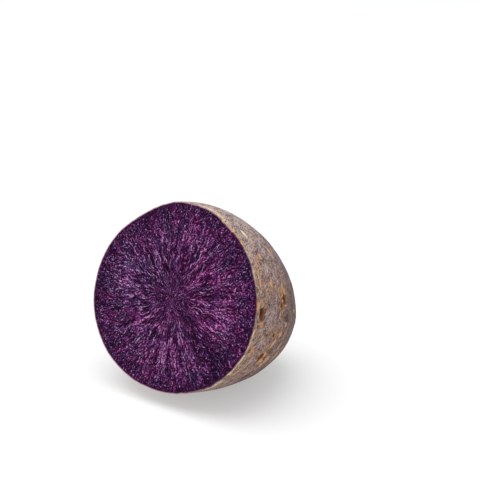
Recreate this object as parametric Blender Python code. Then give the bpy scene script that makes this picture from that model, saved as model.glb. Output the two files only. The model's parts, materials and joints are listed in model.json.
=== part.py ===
# Half of a long purple potato, cut across and lying on its side. Metres, +Z up.
# The half is modelled along its own axis first: the cut is the plane Y = 0, the tip is at +Y,
# and angles run round the axis from +X towards +Z. It is then tilted to the way it lies.

import math

import bmesh
import bpy
from mathutils import Matrix, Vector

# Driving dimensions
WAIST_RADIUS = 0.031  # thickest ring of the potato
CUT_TO_WAIST = 0.0039  # along the axis, into the half
CUT_TO_TIP = 0.0479
TAPER = 0.095  # how much slimmer than an ellipsoid the tip end is, as a share
TIP_SIDESTEP = 0.0056  # the tip curves towards +X by this
TIP_DROP = -0.0071  # and away from the upper side by this
AXIS_TILT = math.radians(17.5)  # the cut faces a little upwards, as the half rests on its belly
REST_SPOT_DEPTH = 0.0005  # the belly is pressed flat this deep where it rests

# The cross-section is not quite round: waves round the axis, as (count, cosine share, sine share)
GIRTH_WAVES = ((2, 0.0206, 0.0252), (3, 0.0, -0.0123), (4, 0.0026, 0.0007))

# A broad wave that grows towards the tip, so that no two sides are alike
BELLY_WAVE_HEIGHT = 0.0004
BELLY_WAVE_TURN = math.radians(150)

# A shallow hollow in the skin where it meets the cut
HOLLOW_ANGLE = math.radians(125)
HOLLOW_RADIUS = 0.0153
HOLLOW_DEPTH = 0.00067

# Eyes. Each is a shallow dish with a small pit, under a brow on the side away from the tip.
EYE_DISH_RADIUS = 0.0050
EYE_PIT_RADIUS = 0.0020
BROW_DISTANCE = 0.0034
BROW_LENGTH = 0.0052
BROW_WIDTH = 0.0016
BROW_ARCH = 55.0  # how strongly the brow curves round the pit, per metre
EYE_REACH = 0.0140  # past this distance an eye does nothing

# Side eyes, as (angle round the axis in degrees, distance from the cut, size, depth)
SIDE_EYES = (
    (4.8, 0.0034, 0.45, 0.0004),
    (10.0, 0.0155, 0.60, 0.0005),
    (338.5, 0.0108, 0.45, 0.0004),
    (333.2, 0.0151, 0.50, 0.0004),
    (148.0, 0.0150, 1.00, 0.0011),
    (205.0, 0.0290, 0.90, 0.0011),
    (300.0, 0.0350, 0.80, 0.0009),
    (60.0, 0.0355, 0.85, 0.0010),
)

# Round the tip the eyes crowd together, along the spiral that potato eyes grow in
TIP_EYES = 5
TIP_EYE_START = math.radians(100)
TIP_EYE_STEP = math.radians(137.5)
TIP_EYE_FIRST = 0.0385  # distance from the cut
TIP_EYE_LAST = 0.0455
TIP_EYE_SIZE = 0.75
TIP_EYE_DEPTH = 0.0010

GRID = 32  # squares along each edge of the cube that the body starts from


def girth(angle):
    """Share of the ring radius at this angle round the axis."""
    share = 1.0
    for count, cosine, sine in GIRTH_WAVES:
        share += cosine * math.cos(count * angle) + sine * math.sin(count * angle)
    return share


def plain_skin(direction):
    """Point of the skin, without hollow and eyes, for a unit direction from the waist's centre."""
    along = direction.y
    out = math.hypot(direction.x, direction.z)
    angle = math.atan2(direction.z, direction.x)
    y = CUT_TO_WAIST + (CUT_TO_TIP - CUT_TO_WAIST) * along
    share = max(y, 0.0) / CUT_TO_TIP
    radius = WAIST_RADIUS * out * (1 - TAPER * along * along) * girth(angle)
    radius += BELLY_WAVE_HEIGHT * out * share * math.sin(2 * angle + 3 * along + BELLY_WAVE_TURN)
    return Vector((
        radius * math.cos(angle) + TIP_SIDESTEP * share**2,
        y,
        radius * math.sin(angle) + TIP_DROP * share**2,
    ))


def direction_at(angle, distance):
    """Unit direction from the waist's centre to the skin at this angle and distance from the cut."""
    along = (distance - CUT_TO_WAIST) / (CUT_TO_TIP - CUT_TO_WAIST)
    out = math.sqrt(1 - along * along)
    return Vector((out * math.cos(angle), along, out * math.sin(angle)))


def skin_normal(direction):
    """Outward unit normal of the plain skin, from two small steps over it."""
    step = 1e-3
    side = direction.orthogonal().normalized()
    up = direction.cross(side)
    here = plain_skin(direction)
    first = plain_skin((direction + step * side).normalized()) - here
    second = plain_skin((direction + step * up).normalized()) - here
    return first.cross(second).normalized()


def all_eyes():
    """Every eye as its place, the directions round and along the skin there, size and depth."""
    places = [(math.radians(angle), distance, size, depth) for angle, distance, size, depth in SIDE_EYES]
    for number in range(TIP_EYES):
        distance = TIP_EYE_FIRST + (TIP_EYE_LAST - TIP_EYE_FIRST) * number / (TIP_EYES - 1)
        places.append((TIP_EYE_START + number * TIP_EYE_STEP, distance, TIP_EYE_SIZE, TIP_EYE_DEPTH))
    eyes = []
    for angle, distance, size, depth in places:
        direction = direction_at(angle, distance)
        normal = skin_normal(direction)
        around = Vector((-math.sin(angle), 0.0, math.cos(angle)))
        around = (around - around.dot(normal) * normal).normalized()
        along = around.cross(normal)
        along *= math.copysign(1.0, along.y)
        eyes.append((plain_skin(direction), around, along, size, depth))
    return eyes


def eye_height(point, eye):
    """How far this eye raises the skin at a point; a pit is below zero."""
    place, around, along, size, depth = eye
    offset = (point - place) / size
    if offset.length > EYE_REACH:
        return 0.0
    a = offset.dot(around)
    b = offset.dot(along)
    distance = math.hypot(a, b)
    dish = -0.55 * math.exp(-((distance / EYE_DISH_RADIUS) ** 2))
    pit = -math.exp(-((distance / EYE_PIT_RADIUS) ** 2))
    across = b + BROW_DISTANCE - BROW_ARCH * a * a
    brow = 0.60 * math.exp(-((across / BROW_WIDTH) ** 2) - (a / BROW_LENGTH) ** 2)
    return depth * (dish + pit + brow)


def hollow_height(point):
    """The shallow hollow at the cut, which fades out smoothly at its edge."""
    middle = Vector((math.cos(HOLLOW_ANGLE), 0.0, math.sin(HOLLOW_ANGLE))) * WAIST_RADIUS
    share = (point - middle).length / HOLLOW_RADIUS
    return -HOLLOW_DEPTH * (1 - share * share) ** 2 if share < 1 else 0.0


def shape_skin(mesh):
    """Moves a cube's grid points onto the skin."""
    eyes = all_eyes()
    for vert in mesh.verts:
        warped = [math.tan(value * math.pi / 4) for value in vert.co]
        direction = Vector(warped).normalized()
        point = plain_skin(direction)
        height = hollow_height(point) + sum(eye_height(point, eye) for eye in eyes)
        vert.co = point + height * skin_normal(direction)


def slice_off(mesh, place, normal, material_index):
    """Cuts away what lies beyond a plane, and closes the cut with one flat fan of faces."""
    geometry = mesh.verts[:] + mesh.edges[:] + mesh.faces[:]
    bmesh.ops.bisect_plane(
        mesh, geom=geometry, dist=1e-6, plane_co=place, plane_no=normal, clear_outer=True
    )
    rim = [edge for edge in mesh.edges if edge.is_boundary]
    filled = bmesh.ops.holes_fill(mesh, edges=rim, sides=0)["faces"]
    fan = bmesh.ops.poke(mesh, faces=filled)["faces"]
    for face in fan:
        face.material_index = material_index


def material(name, colour, roughness):
    made = bpy.data.materials.new(name)
    made.use_nodes = True
    shader = made.node_tree.nodes["Principled BSDF"]
    shader.inputs["Base Color"].default_value = (*colour, 1.0)
    shader.inputs["Roughness"].default_value = roughness
    shader.inputs["Metallic"].default_value = 0.0
    made.diffuse_color = (*colour, 1.0)
    return made


def potato_half():
    """The one solid: skin and flesh grown as one, cut across, resting on its belly."""
    shape = bmesh.new()
    bmesh.ops.create_cube(shape, size=2)
    bmesh.ops.subdivide_edges(shape, edges=shape.edges[:], cuts=GRID - 1, use_grid_fill=True)
    shape_skin(shape)
    slice_off(shape, Vector((0, 0, 0)), Vector((0, -1, 0)), 1)

    tilt = Matrix.Rotation(-AXIS_TILT, 4, "X")
    bmesh.ops.transform(shape, matrix=tilt, verts=shape.verts[:])
    floor = min(vert.co.z for vert in shape.verts) + REST_SPOT_DEPTH
    slice_off(shape, Vector((0, 0, floor)), Vector((0, 0, -1)), 0)

    # The origin is the middle of the box's underside, which lies on the rest spot
    lowest = [min(vert.co[axis] for vert in shape.verts) for axis in range(3)]
    highest = [max(vert.co[axis] for vert in shape.verts) for axis in range(3)]
    middle = [(low + high) / 2 for low, high in zip(lowest, highest)]
    bmesh.ops.translate(shape, vec=(-middle[0], -middle[1], -lowest[2]), verts=shape.verts[:])
    bmesh.ops.recalc_face_normals(shape, faces=shape.faces[:])

    mesh = bpy.data.meshes.new("potato_half")
    shape.to_mesh(mesh)
    shape.free()
    mesh.materials.append(material("potato_skin", (0.24, 0.18, 0.16), 0.65))
    mesh.materials.append(material("potato_flesh", (0.08, 0.02, 0.09), 0.40))
    mesh.shade_smooth()
    mesh.set_sharp_from_angle(angle=math.radians(40))
    return bpy.data.objects.new("potato_half", mesh)


for old in list(bpy.data.objects):
    bpy.data.objects.remove(old, do_unlink=True)

parts = bpy.data.collections.new("purple_potato_half")
bpy.context.scene.collection.children.link(parts)
parts.objects.link(potato_half())
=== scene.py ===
# A purple potato half, finished: grey-brown skin with its pores and eyes, and the violet cut.
import json
import math
import random

import bpy
import numpy as np
from mathutils import Matrix, Vector, noise


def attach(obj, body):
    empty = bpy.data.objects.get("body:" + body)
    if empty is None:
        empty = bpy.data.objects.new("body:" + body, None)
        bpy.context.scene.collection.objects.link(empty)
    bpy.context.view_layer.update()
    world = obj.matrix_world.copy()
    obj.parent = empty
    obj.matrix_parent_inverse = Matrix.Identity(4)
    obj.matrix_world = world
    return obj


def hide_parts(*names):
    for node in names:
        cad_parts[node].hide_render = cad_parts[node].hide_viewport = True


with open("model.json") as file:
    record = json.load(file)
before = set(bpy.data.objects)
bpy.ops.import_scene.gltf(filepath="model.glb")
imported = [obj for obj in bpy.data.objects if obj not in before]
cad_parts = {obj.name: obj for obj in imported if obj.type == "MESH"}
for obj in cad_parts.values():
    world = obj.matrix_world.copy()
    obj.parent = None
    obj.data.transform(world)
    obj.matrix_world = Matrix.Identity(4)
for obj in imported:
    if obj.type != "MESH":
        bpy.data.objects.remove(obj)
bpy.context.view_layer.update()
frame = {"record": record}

mm = 0.001
mounts = {mount["name"]: mount for mount in frame["record"]["mounts"]}
heart = Vector(mounts["cut_face"]["pos_m"])  # middle of the cut, on the potato's own axis
tilt = math.asin(mounts["cut_face"]["axis"][2])  # the cut looks this far upwards
lying = Matrix.Rotation(-tilt, 3, "X")  # turns the potato's own axes to the way it lies
touching = 1e-4  # corners nearer than this to a face of the starting cube lie on it
print("frame read: heart at", [round(value / mm, 2) for value in heart], "mm")


# Camera: the photograph's own angle, with a long lens half a metre away
cameraSetup = {
    "azimuth": 36.26,  # degrees
    "elevation": 22.20,
    "distance": 500 * mm,
    "toTheRight": 20.93 * mm,  # the half stands left of the picture's middle
    "above": 18.41 * mm,  # and below it
    "lens": 120,  # mm
    "sensor": 36,  # mm wide
    "clipStart": 10 * mm,
    "clipEnd": 20000 * mm,
}


def addCamera(setup):
    azimuth = math.radians(setup["azimuth"])
    elevation = math.radians(setup["elevation"])
    back = Vector((
        math.sin(azimuth) * math.cos(elevation),
        -math.cos(azimuth) * math.cos(elevation),
        math.sin(elevation),
    ))
    right = Vector((math.cos(azimuth), math.sin(azimuth), 0))
    up = back.cross(right)
    aim = heart + setup["toTheRight"] * right + setup["above"] * up
    bpy.ops.object.camera_add(location=aim + setup["distance"] * back)
    camera = bpy.context.object
    camera.rotation_euler = (-back).to_track_quat("-Z", "Y").to_euler()
    camera.data.lens = setup["lens"]
    camera.data.sensor_width = setup["sensor"]
    camera.data.clip_start = setup["clipStart"]
    camera.data.clip_end = setup["clipEnd"]
    bpy.context.scene.camera = camera


addCamera(cameraSetup)
print("camera placed")


# The potato half, in millimetres and degrees. Angles run round its own axis, from its right side over
# the top. Distances run from the cut towards the tip.
tuber = {
    # form
    "waistRadius": 31.0,
    "cutToWaist": 3.9,
    "cutToTip": 47.9,
    "taper": 0.095,
    "tipSidestep": 5.6,
    "tipDrop": -7.1,
    "girthWaves": ((2, 0.0206, 0.0252), (3, 0.0, -0.0123), (4, 0.0026, 0.0007)),
    "bellyWave": 0.4,
    "bellyWaveTurn": 150,
    "hollowAngle": 125,
    "hollowRadius": 15.3,
    "hollowDepth": 0.67,
    "cells": 120,  # squares along each edge of the cube that it is made from
    "capShare": 0.36,  # the far side of the cube covers this share of the way from tip to cut
    "sharpFrom": 40,  # edges that bend more than this are shaded sharp

    # eyes: a shallow dish with a pit, under a brow on the side away from the tip. The pit is as deep
    # as the eye; the dish and the brow have these shares of that.
    "dishShare": 0.55,
    "browShare": 0.6,
    "dishRadius": 5.0,
    "pitRadius": 2.0,
    "browDistance": 3.4,
    "browLength": 5.2,
    "browWidth": 1.6,
    "browArch": 0.055,
    "eyeReach": 14.0,
    "seenEyes": (  # angle, distance from the cut, size, depth
        (4.8, 3.4, 0.45, 0.4),
        (10.0, 15.5, 0.60, 0.5),
        (338.5, 10.8, 0.45, 0.4),
        (333.2, 15.1, 0.50, 0.4),
    ),
    "hiddenEyes": (
        (148.0, 15.0, 1.00, 1.1),
        (205.0, 29.0, 0.90, 1.1),
        (300.0, 35.0, 0.80, 0.9),
        (60.0, 35.5, 0.85, 1.0),
    ),
    "tipEyes": 5,
    "tipStart": 100,
    "tipStep": 137.5,
    "tipFirst": 38.5,
    "tipLast": 45.5,
    "tipSize": 0.75,
    "tipDepth": 1.0,

    # relief of the skin
    "seedSteps": (17.3, 5.1, 9.7),  # each seed moves the noise this far
    "lumpSize": 7.0,
    "lumpHeight": 0.16,
    "grainSize": 1.6,
    "grainHeight": 0.035,
    "fraySize": 1.5,
    "frayHeight": 0.26,  # how ragged the knife left the rim
    "frayReach": 1.2,
    "fraySides": (-10, 15),  # left of the first it is smoother; the knife came out right of the second
    "frayShares": (0.35, 1),
    "nickDepth": 0.45,
    "nickEdge": 0.45,  # it fades out over this share of its size
    "markForms": {  # height, and the share of a mark's size over which it fades out
        "pits": (-0.60, 0.9),
        "corks": (0.05, 0.45),
        "pales": (0.08, 0.45),
        "pores": (0.10, 1.2),
    },

    # marks: angle, distance from the cut, half length, half width, how far the long way turns from
    # round the potato towards the tip, and strength
    "ragged": 0.45,  # how far a mark's edge wanders, as a share of its size
    "raggedSize": 1.1,
    "markOutline": 1.2,  # where a mark ends, as a share of its half sizes
    "markThickness": 4.0,  # and how deep it reaches, so that it doesn't show on the other side
    "nick": (60.5, 0.0, 2.8, 1.6, 0, 1.0),  # a sliver of skin is torn from the rim here
    "pits": (  # brown holes with a dark middle; the weak ones are only brown dents
        (5.9, 3.1, 2.1, 1.5, 0, 1.5),
        (3.6, 3.4, 2.0, 1.4, 0, 1.0),
        (14.3, 17.8, 1.9, 1.3, 0, 1.3),
        (17.2, 14.6, 1.6, 1.0, 35, 0.5),
        (18.4, 16.2, 1.5, 1.0, -10, 0.45),
        (14.2, 15.4, 1.3, 1.3, 0, 0.55),
        (10.5, 15.4, 1.4, 1.5, -20, 1.3),
        (3.5, 19.8, 1.1, 1.2, 0, 1.0),
        (352.8, 12.7, 1.0, 1.0, 0, 1.1),
        (338.5, 11.5, 1.4, 1.2, 0, 1.4),
        (335.9, 11.1, 1.4, 1.1, 20, 1.4),
        (333.0, 15.1, 1.3, 1.3, 0, 1.3),
        (337.0, 14.2, 1.1, 1.0, 0, 1.2),
        (342.0, 14.0, 2.0, 2.4, 20, 0.38),
        (321.0, 13.5, 2.8, 1.3, 10, 0.9),
    ),
    "corks": (  # rusty orange skin that healed over
        (0.7, 3.4, 1.7, 0.9, 0, 1.5),
        (4.0, 3.4, 3.0, 1.5, 0, 0.55),
        (9.2, 0.7, 1.8, 0.7, 0, 1.1),
        (21.0, 15.6, 1.5, 1.2, 0, 0.7),
        (16.5, 16.0, 2.8, 2.8, 0, 0.95),
        (11.2, 17.8, 0.5, 1.6, 15, 0.9),
        (9.2, 13.4, 0.8, 1.0, 30, 0.9),
        (8.2, 16.4, 1.6, 1.2, 0, 0.5),
        (4.8, 13.8, 1.6, 0.5, 10, 0.8),
        (356.8, 13.7, 2.2, 0.6, 10, 0.8),
        (352.8, 17.2, 1.0, 1.0, 0, 1.1),
        (352.8, 12.7, 1.3, 1.3, 0, 0.9),
        (346.8, 14.2, 2.4, 0.8, 20, 1.1),
        (337.5, 12.2, 2.6, 2.4, 0, 0.95),
        (333.5, 16.5, 2.6, 1.3, 20, 0.95),
        (344.2, 3.2, 1.8, 0.8, 10, 1.6),
        (341.2, 2.9, 1.3, 0.6, 20, 0.9),
        (354.8, 0.7, 3.0, 0.5, 0, 0.9),
        (349.0, 0.6, 2.5, 0.5, 0, 0.8),
        (326.0, 12.0, 4.6, 0.7, 30, 0.6),
        (321.0, 9.0, 3.0, 0.6, 25, 0.7),
        (345.0, 21.0, 2.6, 0.8, 20, 0.9),
        (336.0, 23.0, 2.4, 0.9, 20, 0.9),
        (48.5, 0.2, 2.2, 0.5, 0, 1.0),
        (58.0, 0.2, 2.2, 0.5, 0, 1.2),
        (67.0, 0.2, 2.0, 0.4, 0, 0.8),
        (44.0, 14.5, 1.1, 1.0, 0, 1.3),
        (40.8, 15.7, 0.7, 0.7, 0, 1.0),
        (38.5, 6.3, 1.1, 0.8, 10, 1.25),
        (22.5, 8.6, 1.5, 0.7, 15, 1.2),
        (20.0, 10.8, 1.3, 0.6, 20, 0.8),
        (36.0, 3.8, 1.8, 0.5, -12, 1.0),
        (31.8, 2.6, 2.4, 0.4, -5, 0.9),
        (26.5, 2.1, 2.0, 0.4, 0, 0.8),
        (22.2, 2.5, 2.0, 0.4, 8, 0.9),
        (12.5, 1.5, 1.0, 0.4, 0, 1.2),
        (15.5, 4.6, 0.8, 0.35, 10, 1.1),
        (348.0, 8.5, 0.7, 0.4, 20, 1.2),
        (344.5, 9.5, 1.2, 0.35, 15, 1.1),
        (352.0, 6.2, 0.7, 0.3, 0, 1.1),
        (331.5, 5.0, 2.4, 0.4, 20, 1.1),
        (326.0, 3.0, 2.6, 0.4, 12, 1.0),
        (316.0, 4.5, 2.6, 0.4, 20, 1.0),
    ),
    "pales": (  # cream pores and rubbed places; the long bands along the top of the rim are partly painted light from above
        (53.2, 4.4, 1.3, 0.7, -10, 1.6),
        (74.0, 1.3, 5.5, 1.4, 0, 0.62),
        (83.0, 1.4, 6.0, 1.2, 0, 0.38),
        (26.0, 1.3, 11.0, 1.5, 0, 0.3),
        (358.8, 19.8, 0.8, 0.7, 0, 0.7),
        (8.2, 16.4, 0.9, 0.6, 0, 0.5),
        (339.6, 13.0, 0.6, 0.5, 0, 0.7),
        (335.4, 13.4, 0.6, 0.5, 0, 0.7),
        (350.0, 0.2, 5.0, 0.4, 0, 0.8),
        (338.0, 0.3, 2.4, 0.6, 0, 1.1),
        (328.0, 0.3, 2.6, 0.5, 0, 1.0),
        (312.0, 0.8, 5.0, 1.2, 0, 0.7),
    ),
    "pores": (  # round ones, tan with a light middle
        (54.8, 6.9, 0.9, 0.9, 0, 1.2),
    ),

    # more pores, and streaks of rust, over the whole half but for the part that the lists above cover
    "scatterSeed": 7,
    "scatteredPores": 150,
    "scatteredStreaks": 46,
    "scatteredAlong": (-0.05, 0.99),  # the waist is at 0 and the tip at 1
    "scatteredSizes": (0.45, 1.0),
    "scatteredShrink": (0.8, 1.0),
    "scatteredTurns": (-20, 50),
    "poreLength": 1.4,
    "poreWidth": 1.2,
    "poreStrengths": (0.6, 1.1),
    "streakLengths": (2, 5),
    "streakStrengths": (0.4, 0.8),
    "bareFrom": -50,  # from this angle
    "bareTo": 92,  # to this one the marks above stand alone near the cut
    "bareDepth": 26,

    # marks of a hidden eye of size 1: half length, half width and strength
    "eyeRust": (3.2, 2.3, 0.7),
    "eyeHole": (2.2, 1.1, 1.1),
    "browRust": (3.6, 0.6, 0.6),  # as narrow on every eye
    "browRustShift": 3.0,  # it lies this far nearer the cut

    # rays of lighter and darker flesh on the cut: angle and half width, where each starts and ends
    # from the heart, how light it is, and how much it leans to magenta
    "fleshRays": (
        (0, 10, 9, 24, 0.13, 0.5),
        (-17, 7, 9, 21, 0.08, 0.5),
        (-5, 16, 1, 8, -0.07, 0.2),
        (19, 7, 5, 18, -0.07, 0.3),
        (46, 15, 4, 21, 0.08, 0.5),
        (84, 13, 8, 25, 0.05, 0.4),
        (112, 7, 12, 24, 0.03, -0.2),
        (125, 10, 3, 10, -0.08, -0.3),
        (158, 13, 11, 26, 0.05, -0.5),
        (185, 14, 12, 28, 0.04, -0.3),
        (205, 8, 5, 20, -0.03, -0.2),
        (223, 11, 4, 16, 0.07, 0.3),
        (240, 7, 15, 26, -0.05, 0.1),
        (262, 13, 5, 25, 0.05, 0.3),
        (292, 8, 9, 24, 0.04, 0.2),
        (322, 10, 5, 29, -0.11, -0.1),
    ),
    "rayStartBlur": 1.2,  # how softly they start and end
    "rayEndBlur": 1.8,
}


def plainSkin(directions):  # skin without hollow and eyes, for unit directions from the waist's middle
    along = directions[:, 1]
    out = np.hypot(directions[:, 0], directions[:, 2])
    angle = np.arctan2(directions[:, 2], directions[:, 0])
    y = tuber["cutToWaist"] + (tuber["cutToTip"] - tuber["cutToWaist"]) * along
    share = np.clip(y, 0, None) / tuber["cutToTip"]
    girth = 1 + sum(
        cosine * np.cos(count * angle) + sine * np.sin(count * angle)
        for count, cosine, sine in tuber["girthWaves"]
    )
    radius = tuber["waistRadius"] * out * (1 - tuber["taper"] * along**2) * girth
    bellyTurn = math.radians(tuber["bellyWaveTurn"])
    radius += tuber["bellyWave"] * out * share * np.sin(2 * angle + 3 * along + bellyTurn)
    return np.stack((
        radius * np.cos(angle) + tuber["tipSidestep"] * share**2,
        y,
        radius * np.sin(angle) + tuber["tipDrop"] * share**2,
    ), axis=1)


def unit(vectors):
    return vectors / np.linalg.norm(vectors, axis=1, keepdims=True)


def skinNormals(directions):  # from two small steps over the plain skin
    awayFromX = np.abs(directions[:, :1]) < 0.7
    helper = np.where(awayFromX, [[1.0, 0.0, 0.0]], [[0.0, 0.0, 1.0]])
    side = unit(np.cross(directions, helper))
    up = np.cross(directions, side)
    step = 1e-3
    here = plainSkin(directions)
    first = plainSkin(unit(directions + step * side)) - here
    second = plainSkin(unit(directions + step * up)) - here
    return unit(np.cross(first, second))


def placeOnSkin(angle, distance):  # a place on the skin, with the directions round it and towards the tip
    turn = math.radians(angle)
    along = (distance - tuber["cutToWaist"]) / (tuber["cutToTip"] - tuber["cutToWaist"])
    out = math.sqrt(1 - along * along)
    direction = np.array([[out * math.cos(turn), along, out * math.sin(turn)]])
    normal = skinNormals(direction)[0]
    around = np.array([-math.sin(turn), 0.0, math.cos(turn)])
    around -= around.dot(normal) * normal
    around /= np.linalg.norm(around)
    onwards = np.cross(around, normal)
    onwards *= math.copysign(1.0, onwards[1])
    return plainSkin(direction)[0], around, onwards


def hiddenEyes():  # those at the far side, and those that crowd round the tip along a spiral
    eyes = list(tuber["hiddenEyes"])
    for number in range(tuber["tipEyes"]):
        share = number / (tuber["tipEyes"] - 1)
        distance = tuber["tipFirst"] + (tuber["tipLast"] - tuber["tipFirst"]) * share
        angle = tuber["tipStart"] + number * tuber["tipStep"]
        eyes.append((angle, distance, tuber["tipSize"], tuber["tipDepth"]))
    return eyes


def eyeHeights(points):
    heights = np.zeros(len(points))
    for angle, distance, size, depth in list(tuber["seenEyes"]) + hiddenEyes():
        place, around, onwards = placeOnSkin(angle, distance)
        offsets = (points - place) / size
        a = offsets @ around
        b = offsets @ onwards
        away = np.hypot(a, b)
        dish = -tuber["dishShare"] * np.exp(-((away / tuber["dishRadius"]) ** 2))
        pit = -np.exp(-((away / tuber["pitRadius"]) ** 2))
        across = b + tuber["browDistance"] - tuber["browArch"] * a * a
        brow = np.exp(-((across / tuber["browWidth"]) ** 2) - (a / tuber["browLength"]) ** 2)
        near = np.linalg.norm(offsets, axis=1) < tuber["eyeReach"]
        heights += np.where(near, depth * (dish + pit + tuber["browShare"] * brow), 0)
    return heights


def hollowHeights(points):
    angle = math.radians(tuber["hollowAngle"])
    middle = tuber["waistRadius"] * np.array([math.cos(angle), 0.0, math.sin(angle)])
    share = np.linalg.norm(points - middle, axis=1) / tuber["hollowRadius"]
    return np.where(share < 1, -tuber["hollowDepth"] * (1 - share**2) ** 2, 0)


def noiseAt(points, size, seed):  # smooth noise from -1 to 1, with lumps about this size
    shift = Vector([seed * step for step in tuber["seedSteps"]])
    return np.array([noise.noise(Vector(point) / size + shift) for point in points])


def reliefHeights(points):
    heights = hollowHeights(points) + eyeHeights(points)
    heights += tuber["lumpHeight"] * noiseAt(points, tuber["lumpSize"], seed=1)
    heights += tuber["grainHeight"] * noiseAt(points, tuber["grainSize"], seed=2)
    fray = np.clip(1 - points[:, 1] / tuber["frayReach"], 0, 1)
    fray *= np.interp(points[:, 0], tuber["fraySides"], tuber["frayShares"])
    heights += tuber["frayHeight"] * fray * noiseAt(points, tuber["fraySize"], seed=4)
    return heights - tuber["nickDepth"] * markShares(points, 0, tuber["nickEdge"], *tuber["nick"])


def markShares(points, ragged, edge, angle, distance, halfLength, halfWidth, turn, strength):
    # how strongly a mark lies on each point: its strength in the middle, fading to 0 over its edge
    place, around, onwards = placeOnSkin(angle, distance)
    offsets = points - place
    a = offsets @ around
    b = offsets @ onwards
    longWay = math.radians(turn)
    length = (a * math.cos(longWay) + b * math.sin(longWay)) / halfLength
    width = (b * math.cos(longWay) - a * math.sin(longWay)) / halfWidth
    share = tuber["markOutline"] - np.hypot(length, width) * (1 + ragged)
    share = np.clip(share / edge, 0, 1)
    near = np.abs(offsets @ np.cross(around, onwards)) < tuber["markThickness"]
    return np.where(near, strength * share * share * (3 - 2 * share), 0)


def scatteredMarks():  # pores and rust where the lists above have none, and the marks of the hidden eyes
    draw = random.Random(tuber["scatterSeed"])
    pits, corks, pores = [], [], []
    for number in range(tuber["scatteredPores"] + tuber["scatteredStreaks"]):
        along = draw.uniform(*tuber["scatteredAlong"])
        angle = draw.uniform(-180, 180)
        distance = tuber["cutToWaist"] + (tuber["cutToTip"] - tuber["cutToWaist"]) * along
        size = draw.uniform(*tuber["scatteredSizes"]) * draw.uniform(*tuber["scatteredShrink"])
        turn = draw.uniform(*tuber["scatteredTurns"])
        if tuber["bareFrom"] < angle < tuber["bareTo"] and distance < tuber["bareDepth"]:
            continue
        if number < tuber["scatteredPores"]:
            length, width = size * tuber["poreLength"], size * tuber["poreWidth"]
            pores.append((angle, distance, length, width, turn, draw.uniform(*tuber["poreStrengths"])))
        else:
            length = size * draw.uniform(*tuber["streakLengths"])
            corks.append((angle, distance, length, size, turn, draw.uniform(*tuber["streakStrengths"])))
    for angle, distance, size, depth in hiddenEyes():
        length, width, strength = tuber["eyeRust"]
        corks.append((angle, distance, length * size, width * size, 0, strength))
        length, width, strength = tuber["browRust"]
        corks.append((angle, distance - tuber["browRustShift"] * size, length * size, width, 0, strength))
        length, width, strength = tuber["eyeHole"]
        pits.append((angle, distance, length * size, width * size, 0, strength))
    return {"pits": pits, "corks": corks, "pales": [], "pores": pores}


def raySums(points):  # how light the flesh is, and how much it leans to magenta
    angle = np.degrees(np.arctan2(points[:, 2], points[:, 0]))
    radius = np.hypot(points[:, 0], points[:, 2])
    light = np.zeros(len(points))
    blush = np.zeros(len(points))
    for middle, halfWidth, start, end, lightness, redness in tuber["fleshRays"]:
        turn = (angle - middle + 180) % 360 - 180
        across = np.exp(-((turn / halfWidth) ** 2))
        along = 1 / (1 + np.exp((start - radius) / tuber["rayStartBlur"]))
        along /= 1 + np.exp((radius - end) / tuber["rayEndBlur"])
        light += lightness * across * along
        blush += redness * across * along
    return light, blush


def addRoughHalf():  # a cube whose faces are cut into small squares
    bpy.ops.object.select_all(action="DESELECT")
    bpy.ops.mesh.primitive_cube_add(size=2)
    half = bpy.context.object
    half.name = "potatoHalf"
    half.data.name = "potatoHalf"
    bpy.ops.object.mode_set(mode="EDIT")
    bpy.ops.mesh.select_all(action="SELECT")
    # in two steps, because one subdivide makes 100 cuts at most
    bpy.ops.mesh.subdivide(number_cuts=tuber["cells"] // 2 - 1)
    bpy.ops.mesh.subdivide(number_cuts=1)
    bpy.ops.object.mode_set(mode="OBJECT")
    return half


def cubeToTuber(corners):
    # Turns corners of the cube into directions from the waist's middle. The cube's front becomes the
    # flat cut, its sides the skin, and its back the round of the tip. The ring of a corner is how far
    # it lies from the middle of the front or back, from 0 to 1.
    x, y, z = corners.T
    ring = np.maximum(np.abs(x), np.abs(z))
    quarter = math.pi / 4
    safe = np.where(ring > 0, ring, 1)
    angle = np.where(
        np.abs(x) >= np.abs(z),
        quarter * z / safe * np.sign(x) + np.where(x < 0, math.pi, 0),
        math.pi / 2 * np.sign(z) - quarter * x / safe * np.sign(z),
    )
    full = math.acos(-tuber["cutToWaist"] / (tuber["cutToTip"] - tuber["cutToWaist"]))
    cap = tuber["capShare"] * full
    onBack = y > 1 - touching
    theta = np.where(onBack, cap * ring, full + (cap - full) * (y + 1) / 2)
    out = np.sin(theta)
    return np.stack((out * np.cos(angle), np.cos(theta), out * np.sin(angle)), axis=1), ring


def keepOnPoints(mesh, name, values):  # the materials read these by name
    stored = mesh.attributes.new(name, "FLOAT", "POINT")
    stored.data.foreach_set("value", values.astype(np.float32))


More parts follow.
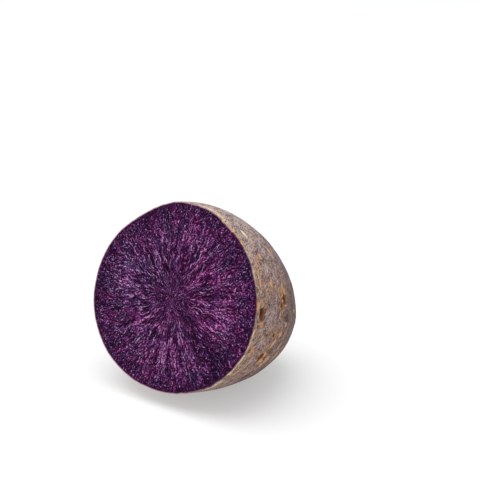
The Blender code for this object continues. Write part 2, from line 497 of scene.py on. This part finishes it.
def shapeHalf(half):
    mesh = half.data
    corners = np.empty(len(mesh.vertices) * 3)
    mesh.vertices.foreach_get("co", corners)
    corners = corners.reshape(-1, 3)
    directions, ring = cubeToTuber(corners)
    front = corners[:, 1] < touching - 1
    points = plainSkin(directions)
    heights = reliefHeights(points)

    ragged = tuber["ragged"] * noiseAt(points, tuber["raggedSize"], seed=3)
    for name, scattered in scatteredMarks().items():
        height, edge = tuber["markForms"][name]
        shares = np.zeros(len(points))
        for mark in list(tuber[name]) + scattered:
            shares = np.maximum(shares, markShares(points, ragged, edge, *mark))
        heights += height * shares
        keepOnPoints(mesh, name, shares)
    points += heights[:, None] * skinNormals(directions)

    # the cut is flat, and its rings lie one inside the other
    points[front, 1] = 0
    toRim = np.hypot(points[:, 0], points[:, 2]) * (1 - ring)
    keepOnPoints(mesh, "fromRim", np.where(front, toRim, 0))
    points[front] *= ring[front, None]
    for name, values in zip(("light", "blush"), raySums(points)):
        keepOnPoints(mesh, name, np.where(front, values, 0))

    world = mm * points @ np.array(lying).T + np.array(heart)
    world[:, 2] = np.maximum(world[:, 2], 0)  # the belly is pressed flat where it rests
    mesh.vertices.foreach_set("co", world.astype(np.float32).ravel())
    mesh.update()


half = addRoughHalf()
shapeHalf(half)
print("half shaped:", len(half.data.vertices), "points")


def linear(hexColour):  # sRGB hex to the linear colour that a shader takes
    values = [int(hexColour[place:place + 2], 16) / 255 for place in (1, 3, 5)]
    return tuple(v / 12.92 if v <= 0.04045 else ((v + 0.055) / 1.055) ** 2.4 for v in values) + (1.0,)


def addNode(tree, kind, inputs=(), output=0, ramp=(), **settings):
    # A node with its settings and links. A Mix node's sockets go by number, because their names
    # repeat: 0 is its share, 2 and 3 are the two values, 6 and 7 the two colours.
    node = tree.nodes.new("ShaderNode" + kind)
    for name, value in settings.items():
        setattr(node, name, value)
    for name, value in inputs.items() if isinstance(inputs, dict) else enumerate(inputs):
        if isinstance(value, bpy.types.NodeSocket):
            tree.links.new(value, node.inputs[name])
        else:
            node.inputs[name].default_value = value
    for number, (position, hexColour) in enumerate(ramp):
        elements = node.color_ramp.elements
        element = elements[number] if number < len(elements) else elements.new(position)
        element.position = position
        element.color = linear(hexColour)
    return node.outputs[output]


def newMaterial(name, values):  # what is the same all over is set on the shader's own sockets
    material = bpy.data.materials.new(name)
    material.use_nodes = True
    shader = material.node_tree.nodes["Principled BSDF"]
    for socket, value in values.items():
        shader.inputs[socket].default_value = value
    return material, material.node_tree, shader


def ownMillimetres(tree):  # the potato's own axes in millimetres, from the middle of the cut
    return addNode(tree, "Mapping", {
        "Vector": addNode(tree, "TexCoord", output="Object"),
        "Location": heart,
        "Rotation": (-tilt, 0, 0),
        "Scale": (mm, mm, mm),
    }, vector_type="TEXTURE")


def patternOf(tree, place, long, wide, detail, roughness):
    # Noise with grains this long round the potato and this wide along it, in millimetres
    sized = addNode(tree, "VectorMath", (place, (1 / long, 1 / wide, 1 / long)), operation="MULTIPLY")
    look = {"Vector": sized, "Scale": 1, "Detail": detail, "Roughness": roughness}
    return addNode(tree, "TexNoise", look)


def swayed(tree, value, share, pattern):  # a value that a pattern moves up and down
    centred = addNode(tree, "Math", (pattern, 0.5), operation="SUBTRACT")
    return addNode(tree, "Math", (centred, share, value), operation="MULTIPLY_ADD")


def linesIn(tree, pattern, halfWidth, core):  # thin lines, where a pattern crosses its middle
    centred = addNode(tree, "Math", (pattern, 0.5), operation="SUBTRACT")
    away = addNode(tree, "Math", (centred,), operation="ABSOLUTE")
    return addNode(tree, "MapRange", (away, halfWidth, core), interpolation_type="SMOOTHSTEP")


def laidOver(tree, colour, hexColour, *fades):
    # A colour laid over another. Each fade is a value, where it starts, where it ends, and how thickly
    # the colour lies at both; several fades thin each other.
    shares = [addNode(tree, "MapRange", fade, interpolation_type="SMOOTHSTEP") for fade in fades]
    share = shares[0]
    for other in shares[1:]:
        share = addNode(tree, "Math", (share, other), operation="MULTIPLY")
    return addNode(tree, "Mix", {0: share, 6: colour, 7: linear(hexColour)}, 2, data_type="RGBA")


# Raw potato flesh, sliced with a knife: wet cells full of violet juice. The eye sees fine rays from
# the heart that break into grains towards the rim, a dull wet gloss, and glints painted into the colour.
flesh = {
    "shader": {"Roughness": 0.38, "IOR": 1.34, "Specular IOR Level": 0.07},
    # from dark to light, leaning to blue and leaning to magenta
    "blues": ("#08020e", "#14031f", "#21082a", "#2d1036", "#391a43", "#4b2c54", "#6c4e76", "#a68cb0"),
    "reds": ("#0c010c", "#20031f", "#31062c", "#400c3a", "#52164b", "#67255e", "#88457c", "#b888b0"),
    "positions": (0.20, 0.34, 0.42, 0.50, 0.58, 0.67, 0.80, 1.0),
    "tone": 0.435,  # where on the palettes the plain flesh lies
    "paintedGlint": "#c9b3d0",  # painted glints: highlights of wet cells, laid into the colour
    "underPeel": "#1d0a25",  # dark flesh just inside the peel
    "ring": "#42194a",  # the magenta line between them
    # the peel's pale edge, partly a painted highlight along the rim
    "peelEdgeAndHighlightOnLeft": "#a87c88",
    "peelOnRight": "#6c5050",

    # rays: how far from the heart they have this width, the width, the length, detail and seed.
    # Real fibres are under 0.1 mm wide; they are drawn as coarse as they need to show.
    "rayRoughness": 0.68,
    "heartStreaks": (4.4, 0.4, 1.67, 3, 3.1),
    "middleStreaks": (10.8, 0.4, 2.78, 3, 11.7),
    "outerStreaks": (23.2, 0.4, 1.0, 2, 23.9),
    "heartThreads": (5.2, 0.4, 2.5, 1, 31.0),
    "outerThreads": (12.0, 0.4, 2.0, 1, 37.0),
    "blushes": (15.4, 1.4, 5.0, 3, 41.3),
    "fibres": (13.6, 0.4, 7.7, 2, 53.0),
    "bands": (15.4, 2.8, 8.3, 2, 67.0),
    "cracks": (9.0, 2.5, 10.0, 2, 87.0),
    "threadWidth": (0.07, 0),  # how near the noise is to its middle at a line's edge and core
    "crackWidth": (0.014, 0.003),
    "wanderSize": 3.3,
    "wanderReach": 2.8,  # how far the rays stray from straight, in millimetres

    # grains: long, wide, detail, roughness. Potato cells are 0.1 to 0.2 mm; drawn coarser to show.
    "tint": (1.18, 1.18, 3, 0.7),
    "cells": (0.476, 0.476, 1, 0.7),
    "clots": (3.3, 3.3, 2, 0.6),
    "paintedGlintSpots": (0.71, 0.71, 1, 0.6),

    # what changes with the distance from the heart: two distances, and the values there. A share is
    # how strongly a pattern moves the tone.
    "heartToMiddle": (4, 8, 0, 1),
    "middleToOuter": (14, 21, 0, 1),
    "streakShare": (15, 24, 1.95, 1.45),
    "cellShare": (11, 24, 0.85, 1.28),
    "fibreStart": (3, 9, 0, 1.1),
    "fibreEnd": (20, 29, 1, 0.25),
    "bandShare": (12, 27, 0.44, 0.10),
    "crackShare": (6, 17, -0.24, 0),

    # what is the same all over
    "clotShare": 0.14,
    "threadShare": 0.22,
    "lightShare": 0.8,  # of the light sectors in the tuber's fleshRays
    "blushShare": 0.2,  # of the magenta there
    "tintShare": 0.35,
    "blushRange": (0.38, 0.66),
    "paintedGlintFade": (0.70, 0.80, 0, 0.42),

    # round the cut, in millimetres from the rim: from, to, and how thickly the colour lies at both
    "rimShade": -0.05,
    "rimShadeFade": (9, 1),
    "rimSway": 0.9,  # how far the clots move the next two in and out
    "underPeelFade": (1.3, 0.5, 0, 0.5),
    "ringFade": (0.45, 0.25, 0, 0.6),
    "peelFade": (0.38, 0.22),
    "peelSides": (-2, 20),  # where the peel's left colour turns into its right one

    "reliefDepth": 0.12,
    "reliefStrength": 0.5,
    "cellRelief": 0.6,
}


def fleshMaterial():
    material, tree, shader = newMaterial("rawVioletPotatoFlesh", flesh["shader"])
    place = ownMillimetres(tree)
    fromRim = addNode(tree, "Attribute", output="Fac", attribute_name="fromRim")

    # each place wanders a little before its ray and its distance from the heart are read
    wander = addNode(tree, "TexNoise", {"Vector": place, "Scale": 1 / flesh["wanderSize"]}, "Color")
    wander = addNode(tree, "VectorMath", (wander, (0.5, 0.5, 0.5)), operation="SUBTRACT")
    reach = [flesh["wanderReach"]] * 3
    bent = addNode(tree, "VectorMath", (wander, reach, place), operation="MULTIPLY_ADD")
    flat = addNode(tree, "VectorMath", (bent, (1, 0, 1)), operation="MULTIPLY")
    ray = addNode(tree, "VectorMath", (flat,), operation="NORMALIZE")
    radius = addNode(tree, "VectorMath", (flat,), "Value", operation="LENGTH")
    outwards = addNode(tree, "CombineXYZ", {"Y": radius})

    def rays(name):  # noise drawn out along the rays
        distance, width, length, detail, seed = flesh[name]
        along = (outwards, [1 / length] * 3, [seed] * 3)
        along = addNode(tree, "VectorMath", along, operation="MULTIPLY_ADD")
        spread = (ray, [distance / width] * 3, along)
        spread = addNode(tree, "VectorMath", spread, operation="MULTIPLY_ADD")
        look = {"Vector": spread, "Scale": 1, "Detail": detail, "Roughness": flesh["rayRoughness"]}
        return addNode(tree, "TexNoise", look)

    def byRadius(name):  # a value that changes with the distance from the heart
        return addNode(tree, "MapRange", (radius, *flesh[name]), interpolation_type="SMOOTHSTEP")

    toMiddle = byRadius("heartToMiddle")
    toOuter = byRadius("middleToOuter")
    streaks = addNode(tree, "Mix", {0: toMiddle, 2: rays("heartStreaks"), 3: rays("middleStreaks")})
    streaks = addNode(tree, "Mix", {0: toOuter, 2: streaks, 3: rays("outerStreaks")})
    threads = addNode(tree, "Mix", {0: toOuter, 2: rays("heartThreads"), 3: rays("outerThreads")})
    cells = patternOf(tree, place, *flesh["cells"])
    clots = patternOf(tree, place, *flesh["clots"])
    fibreShare = (byRadius("fibreStart"), byRadius("fibreEnd"))
    fibreShare = addNode(tree, "Math", fibreShare, operation="MULTIPLY")
    light = addNode(tree, "Attribute", output="Fac", attribute_name="light")
    nearRim = (fromRim, *flesh["rimShadeFade"])
    nearRim = addNode(tree, "MapRange", nearRim, interpolation_type="SMOOTHSTEP")

    # the tone: where on the palettes each place lies
    tone = flesh["tone"]
    for pattern, share in (
        (streaks, byRadius("streakShare")),
        (cells, byRadius("cellShare")),
        (rays("fibres"), fibreShare),
        (clots, flesh["clotShare"]),
        (rays("bands"), byRadius("bandShare")),
    ):
        tone = swayed(tree, tone, share, pattern)
    for pattern, share in (
        (linesIn(tree, threads, *flesh["threadWidth"]), flesh["threadShare"]),
        (light, flesh["lightShare"]),
        (linesIn(tree, rays("cracks"), *flesh["crackWidth"]), byRadius("crackShare")),
        (nearRim, flesh["rimShade"]),
    ):
        tone = addNode(tree, "Math", (pattern, share, tone), operation="MULTIPLY_ADD")

    # the blush: how far it leans from the blue palette to the magenta one
    blush = addNode(tree, "Attribute", output="Fac", attribute_name="blush")
    blush = (blush, flesh["blushShare"], rays("blushes"))
    blush = addNode(tree, "Math", blush, operation="MULTIPLY_ADD")
    blush = swayed(tree, blush, flesh["tintShare"], patternOf(tree, place, *flesh["tint"]))
    blush = addNode(tree, "MapRange", (blush, *flesh["blushRange"]), interpolation_type="SMOOTHSTEP")
    blue = addNode(tree, "ValToRGB", (tone,), ramp=zip(flesh["positions"], flesh["blues"]))
    red = addNode(tree, "ValToRGB", (tone,), ramp=zip(flesh["positions"], flesh["reds"]))
    colour = addNode(tree, "Mix", {0: blush, 6: blue, 7: red}, 2, data_type="RGBA")
    # painted highlight: light specks in the colour stand in for wet cells that catch the light
    paintedGlintSpots = patternOf(tree, place, *flesh["paintedGlintSpots"])
    colour = laidOver(tree, colour, flesh["paintedGlint"], (paintedGlintSpots, *flesh["paintedGlintFade"]))

    # round the cut: dark violet, a magenta line, then the peel's own edge, paler on the left partly as a
    # painted highlight along the rim
    uneven = swayed(tree, fromRim, flesh["rimSway"], clots)
    colour = laidOver(tree, colour, flesh["underPeel"], (uneven, *flesh["underPeelFade"]))
    colour = laidOver(tree, colour, flesh["ring"], (uneven, *flesh["ringFade"]))
    toRight = addNode(tree, "SeparateXYZ", (place,), "X")
    peel = (toRight, *flesh["peelSides"])
    peel = laidOver(tree, linear(flesh["peelEdgeAndHighlightOnLeft"]), flesh["peelOnRight"], peel)
    edge = addNode(tree, "MapRange", (fromRim, *flesh["peelFade"]), interpolation_type="SMOOTHSTEP")
    colour = addNode(tree, "Mix", {0: edge, 6: colour, 7: peel}, 2, data_type="RGBA")

    relief = addNode(tree, "Math", (cells, flesh["cellRelief"], streaks), operation="MULTIPLY_ADD")
    bump = {
        "Height": relief,
        "Strength": flesh["reliefStrength"],
        "Distance": flesh["reliefDepth"] * mm,
    }
    tree.links.new(addNode(tree, "Bump", bump), shader.inputs["Normal"])
    tree.links.new(colour, shader.inputs["Base Color"])
    return material


# Potato skin: a thin dry layer of cork, grown over the violet flesh and rubbed clean by handling.
# The eye sees a dull mauve brown, sandy close up, with rust where it split and healed over.
skin = {
    "shader": {"Roughness": 0.70, "IOR": 1.45, "Specular IOR Level": 0.3},

    # grains: long, wide, detail, roughness. Cork cells are under 0.1 mm; drawn coarser to show.
    "grains": {
        "duskPatches": (18.2, 18.2, 2, 0.6),
        "patches": (8.3, 8.3, 4, 0.75),
        "mottle": (2.38, 2.38, 2, 0.6),
        "sand": (0.4167, 0.4167, 2, 0.7),
    },
    "woundGrains": {
        "veins": (3.68, 1.18, 3, 0.7),
        "breaks": (1.32, 1.05, 2, 0.6),
        "speckle": (0.568, 0.4545, 2, 0.75),
    },
    "winding": 0.045,  # how far those turn round the potato for each millimetre, in radians

    # a grain or a kind of mark, and the grains that move it up and down, each with its share
    "blends": {
        "tone": ("speckle", ("mottle", 0.45), ("sand", 0.55)),
        "torn": ("mottle", ("patches", 1.2)),
        "corks": ("corks", ("speckle", 1.3), ("sand", 1.3), ("breaks", 1.8)),
        "pales": ("pales", ("speckle", 1.2), ("sand", 1.2), ("breaks", 0.8)),
        "pits": ("pits", ("speckle", 0.7), ("sand", 0.7), ("breaks", 0.8)),
        "pores": ("pores", ("speckle", 0.5), ("sand", 0.5), ("breaks", 0.3)),
    },

    # colours laid one over the other on the ground. Each has one to three fades that thin each other:
    # what is read, where the colour starts and ends, and how thickly it lies at both. Besides grains
    # and marks, the distance from the cut and the height above its middle are read, in millimetres.
    "ground": "#86727b",
    "layers": (
        # browner patches, and dark towards the tip and the belly: towards the tip the skin's own darker
        # tone, low on the belly partly painted shade
        ("#9a7a67", ("patches", 0.38, 0.62)),
        ("#9a7a67", ("fromCut", 5, 0.5, 0, 0.4)),
        ("#5b4041", ("fromCut", 5, 24), ("height", 20, 4, 0.5, 0.95)),
        (
            "#40303a",
            ("duskPatches", 0.46, 0.62, 0, 0.7), ("fromCut", 5, 24), ("height", 20, 4, 0.5, 0.95),
        ),
        # past where it was rubbed, darker and calmer; on top near the cut, paler as painted light from
        # above
        ("#54443f", ("fromCut", 20, 34, 0, 0.8)),
        ("#3d313c", ("patches", 0.42, 0.62, 0, 0.9), ("fromCut", 20, 34)),
        # painted light: the top of the skin near the cut is made paler, as if lit from above
        ("#bdb0ac", ("height", 8, 30, 0, 0.36), ("fromCut", 22, 8)),
        # the sandy face of the cork
        ("#34262b", ("tone", 0.53, 0.36), ("fromCut", 20, 34, 1, 0.6)),
        ("#b7a196", ("tone", 0.52, 0.66), ("fromCut", 5, 30, 1, 0.35)),
        ("#4d3a33", ("sand", 0.44, 0.34), ("fromCut", 6, 2.5, 0, 0.75)),
        # umber in fine veins, mostly low down
        ("#946a48", ("veins", 0.52, 0.66), ("patches", 0.44, 0.60, 0.1, 1), ("height", 22, -4, 0.2, 1.4)),
        # healed cork: umber at its edge, ochre inside, rust where it is thickest
        ("#946a48", ("corks", 0.20, 0.55, 0, 0.8)),
        ("#c99a74", ("corks", 0.65, 1.00, 0, 0.9)),
        ("#a2652f", ("corks", 1.15, 1.70, 0, 0.95)),
        # pores, tan with a light middle, and cream places
        ("#84603f", ("pores", 0.20, 0.50, 0, 0.8)),
        ("#c08f64", ("pores", 0.40, 0.85, 0, 0.95)),
        ("#d6bfa6", ("pales", 0.25, 1.0, 0, 0.9)),
        # holes, brown and dark inside
        ("#6b3c15", ("pits", 0.15, 0.65)),
        ("#361704", ("pits", 0.75, 1.30)),
        # pale cork that the knife tore here and there
        ("#cfb095", ("fromCut", 0.55, 0.25), ("torn", 0.53, 0.72, 0, 0.6)),
    ),

    "reliefDepth": 0.16,
    "reliefStrength": 0.6,
    "veinRelief": 0.5,
}


def skinMaterial():
    material, tree, shader = newMaterial("dryPotatoSkin", skin["shader"])
    place = ownMillimetres(tree)
    fromCut = addNode(tree, "SeparateXYZ", (place,), "Y")
    height = addNode(tree, "SeparateXYZ", (place,), "Z")
    winding = addNode(tree, "Math", (fromCut, skin["winding"]), operation="MULTIPLY")
    wound = addNode(tree, "VectorRotate", {"Vector": place, "Angle": winding}, rotation_type="Y_AXIS")

    # what the layers read
    values = {"fromCut": fromCut, "height": height}
    for name in tuber["markForms"]:
        values[name] = addNode(tree, "Attribute", output="Fac", attribute_name=name)
    for name, grain in skin["grains"].items():
        values[name] = patternOf(tree, place, *grain)
    for name, grain in skin["woundGrains"].items():
        values[name] = patternOf(tree, wound, *grain)
    for name, (first, *others) in skin["blends"].items():
        blend = values[first]
        for other, share in others:
            blend = swayed(tree, blend, share, values[other])
        values[name] = blend

    colour = linear(skin["ground"])
    for hexColour, *fades in skin["layers"]:
        valueFades = [(values[name], *fade) for name, *fade in fades]
        colour = laidOver(tree, colour, hexColour, *valueFades)

    relief = (values["veins"], skin["veinRelief"], values["speckle"])
    bump = {
        "Height": addNode(tree, "Math", relief, operation="MULTIPLY_ADD"),
        "Strength": skin["reliefStrength"],
        "Distance": skin["reliefDepth"] * mm,
    }
    tree.links.new(addNode(tree, "Bump", bump), shader.inputs["Normal"])
    tree.links.new(colour, shader.inputs["Base Color"])
    return material


def dressHalf(half):  # flesh on the faces that look along the cut's axis, skin on the rest
    mesh = half.data
    mesh.materials.append(skinMaterial())
    mesh.materials.append(fleshMaterial())
    normals = np.empty(len(mesh.polygons) * 3)
    mesh.polygons.foreach_get("normal", normals)
    cutNormal = np.array(lying @ Vector((0, -1, 0)))
    onCut = normals.reshape(-1, 3) @ cutNormal > 0.9999  # they look the same way
    mesh.polygons.foreach_set("material_index", onCut.astype(np.int32))
    bpy.ops.object.select_all(action="DESELECT")
    half.select_set(True)
    bpy.context.view_layer.objects.active = half
    bpy.ops.object.shade_smooth_by_angle(angle=math.radians(tuber["sharpFrom"]))


dressHalf(half)
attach(half, "root")
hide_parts("potato_half")
print("half dressed")


# Studio: a table of frosted acrylic lit from below, in a white room, under one large soft light
studio = {
    "tableSize": 6.0,  # metres
    "table": {  # cast acrylic, sanded dull, so that it shows no reflections
        "Base Color": linear("#b4b4b4"),
        "Roughness": 0.9,
        "Specular IOR Level": 0.0,
        "Emission Color": linear("#ffffff"),
        "Emission Strength": 0.38,
    },
    "walls": "#fdfeff",
    "wallsOnLeft": 1.08,  # the room is brighter on the camera's left
    "wallsOnRight": 0.72,
    "wallsBlend": 0.9,  # how far out to each side they reach that brightness
    "wallsInPicture": 1.05,
    "softboxPlace": (-0.07, -0.12, 1.0),  # metres
    "softboxAim": (0, 0, 0.03),
    "softboxSize": 1.1,
    "softboxPower": 9,  # watts
}


def addTable():
    bpy.ops.mesh.primitive_plane_add(size=studio["tableSize"])
    table = bpy.context.object
    table.name = "lightTable"
    table.data.materials.append(newMaterial("sandedAcrylic", studio["table"])[0])


def addSoftbox():
    place = Vector(studio["softboxPlace"])
    bpy.ops.object.light_add(type="AREA", location=place)
    light = bpy.context.object
    light.name = "topSoftbox"
    light.data.shape = "DISK"
    light.data.size = studio["softboxSize"]
    light.data.energy = studio["softboxPower"]
    towards = Vector(studio["softboxAim"]) - place
    light.rotation_euler = towards.to_track_quat("-Z", "Y").to_euler()


def addRoom():
    world = bpy.data.worlds.new("whiteRoom")
    bpy.context.scene.world = world
    world.use_nodes = True
    tree = world.node_tree
    azimuth = math.radians(cameraSetup["azimuth"])
    leftwards = (-math.cos(azimuth), -math.sin(azimuth), 0)
    looking = addNode(tree, "TexCoord", output="Generated")
    side = addNode(tree, "VectorMath", (looking, leftwards), "Value", operation="DOT_PRODUCT")
    blend = studio["wallsBlend"]
    room = (side, -blend, blend, studio["wallsOnRight"], studio["wallsOnLeft"])
    room = addNode(tree, "MapRange", room, interpolation_type="SMOOTHSTEP")
    seen = addNode(tree, "LightPath", output="Is Camera Ray")
    strength = addNode(tree, "Mix", {0: seen, 2: room, 3: studio["wallsInPicture"]})
    background = tree.nodes["Background"]
    background.inputs["Color"].default_value = linear(studio["walls"])
    tree.links.new(strength, background.inputs["Strength"])


addTable()
addSoftbox()
addRoom()
bpy.context.scene.view_settings.view_transform = "Standard"
print("studio lit")
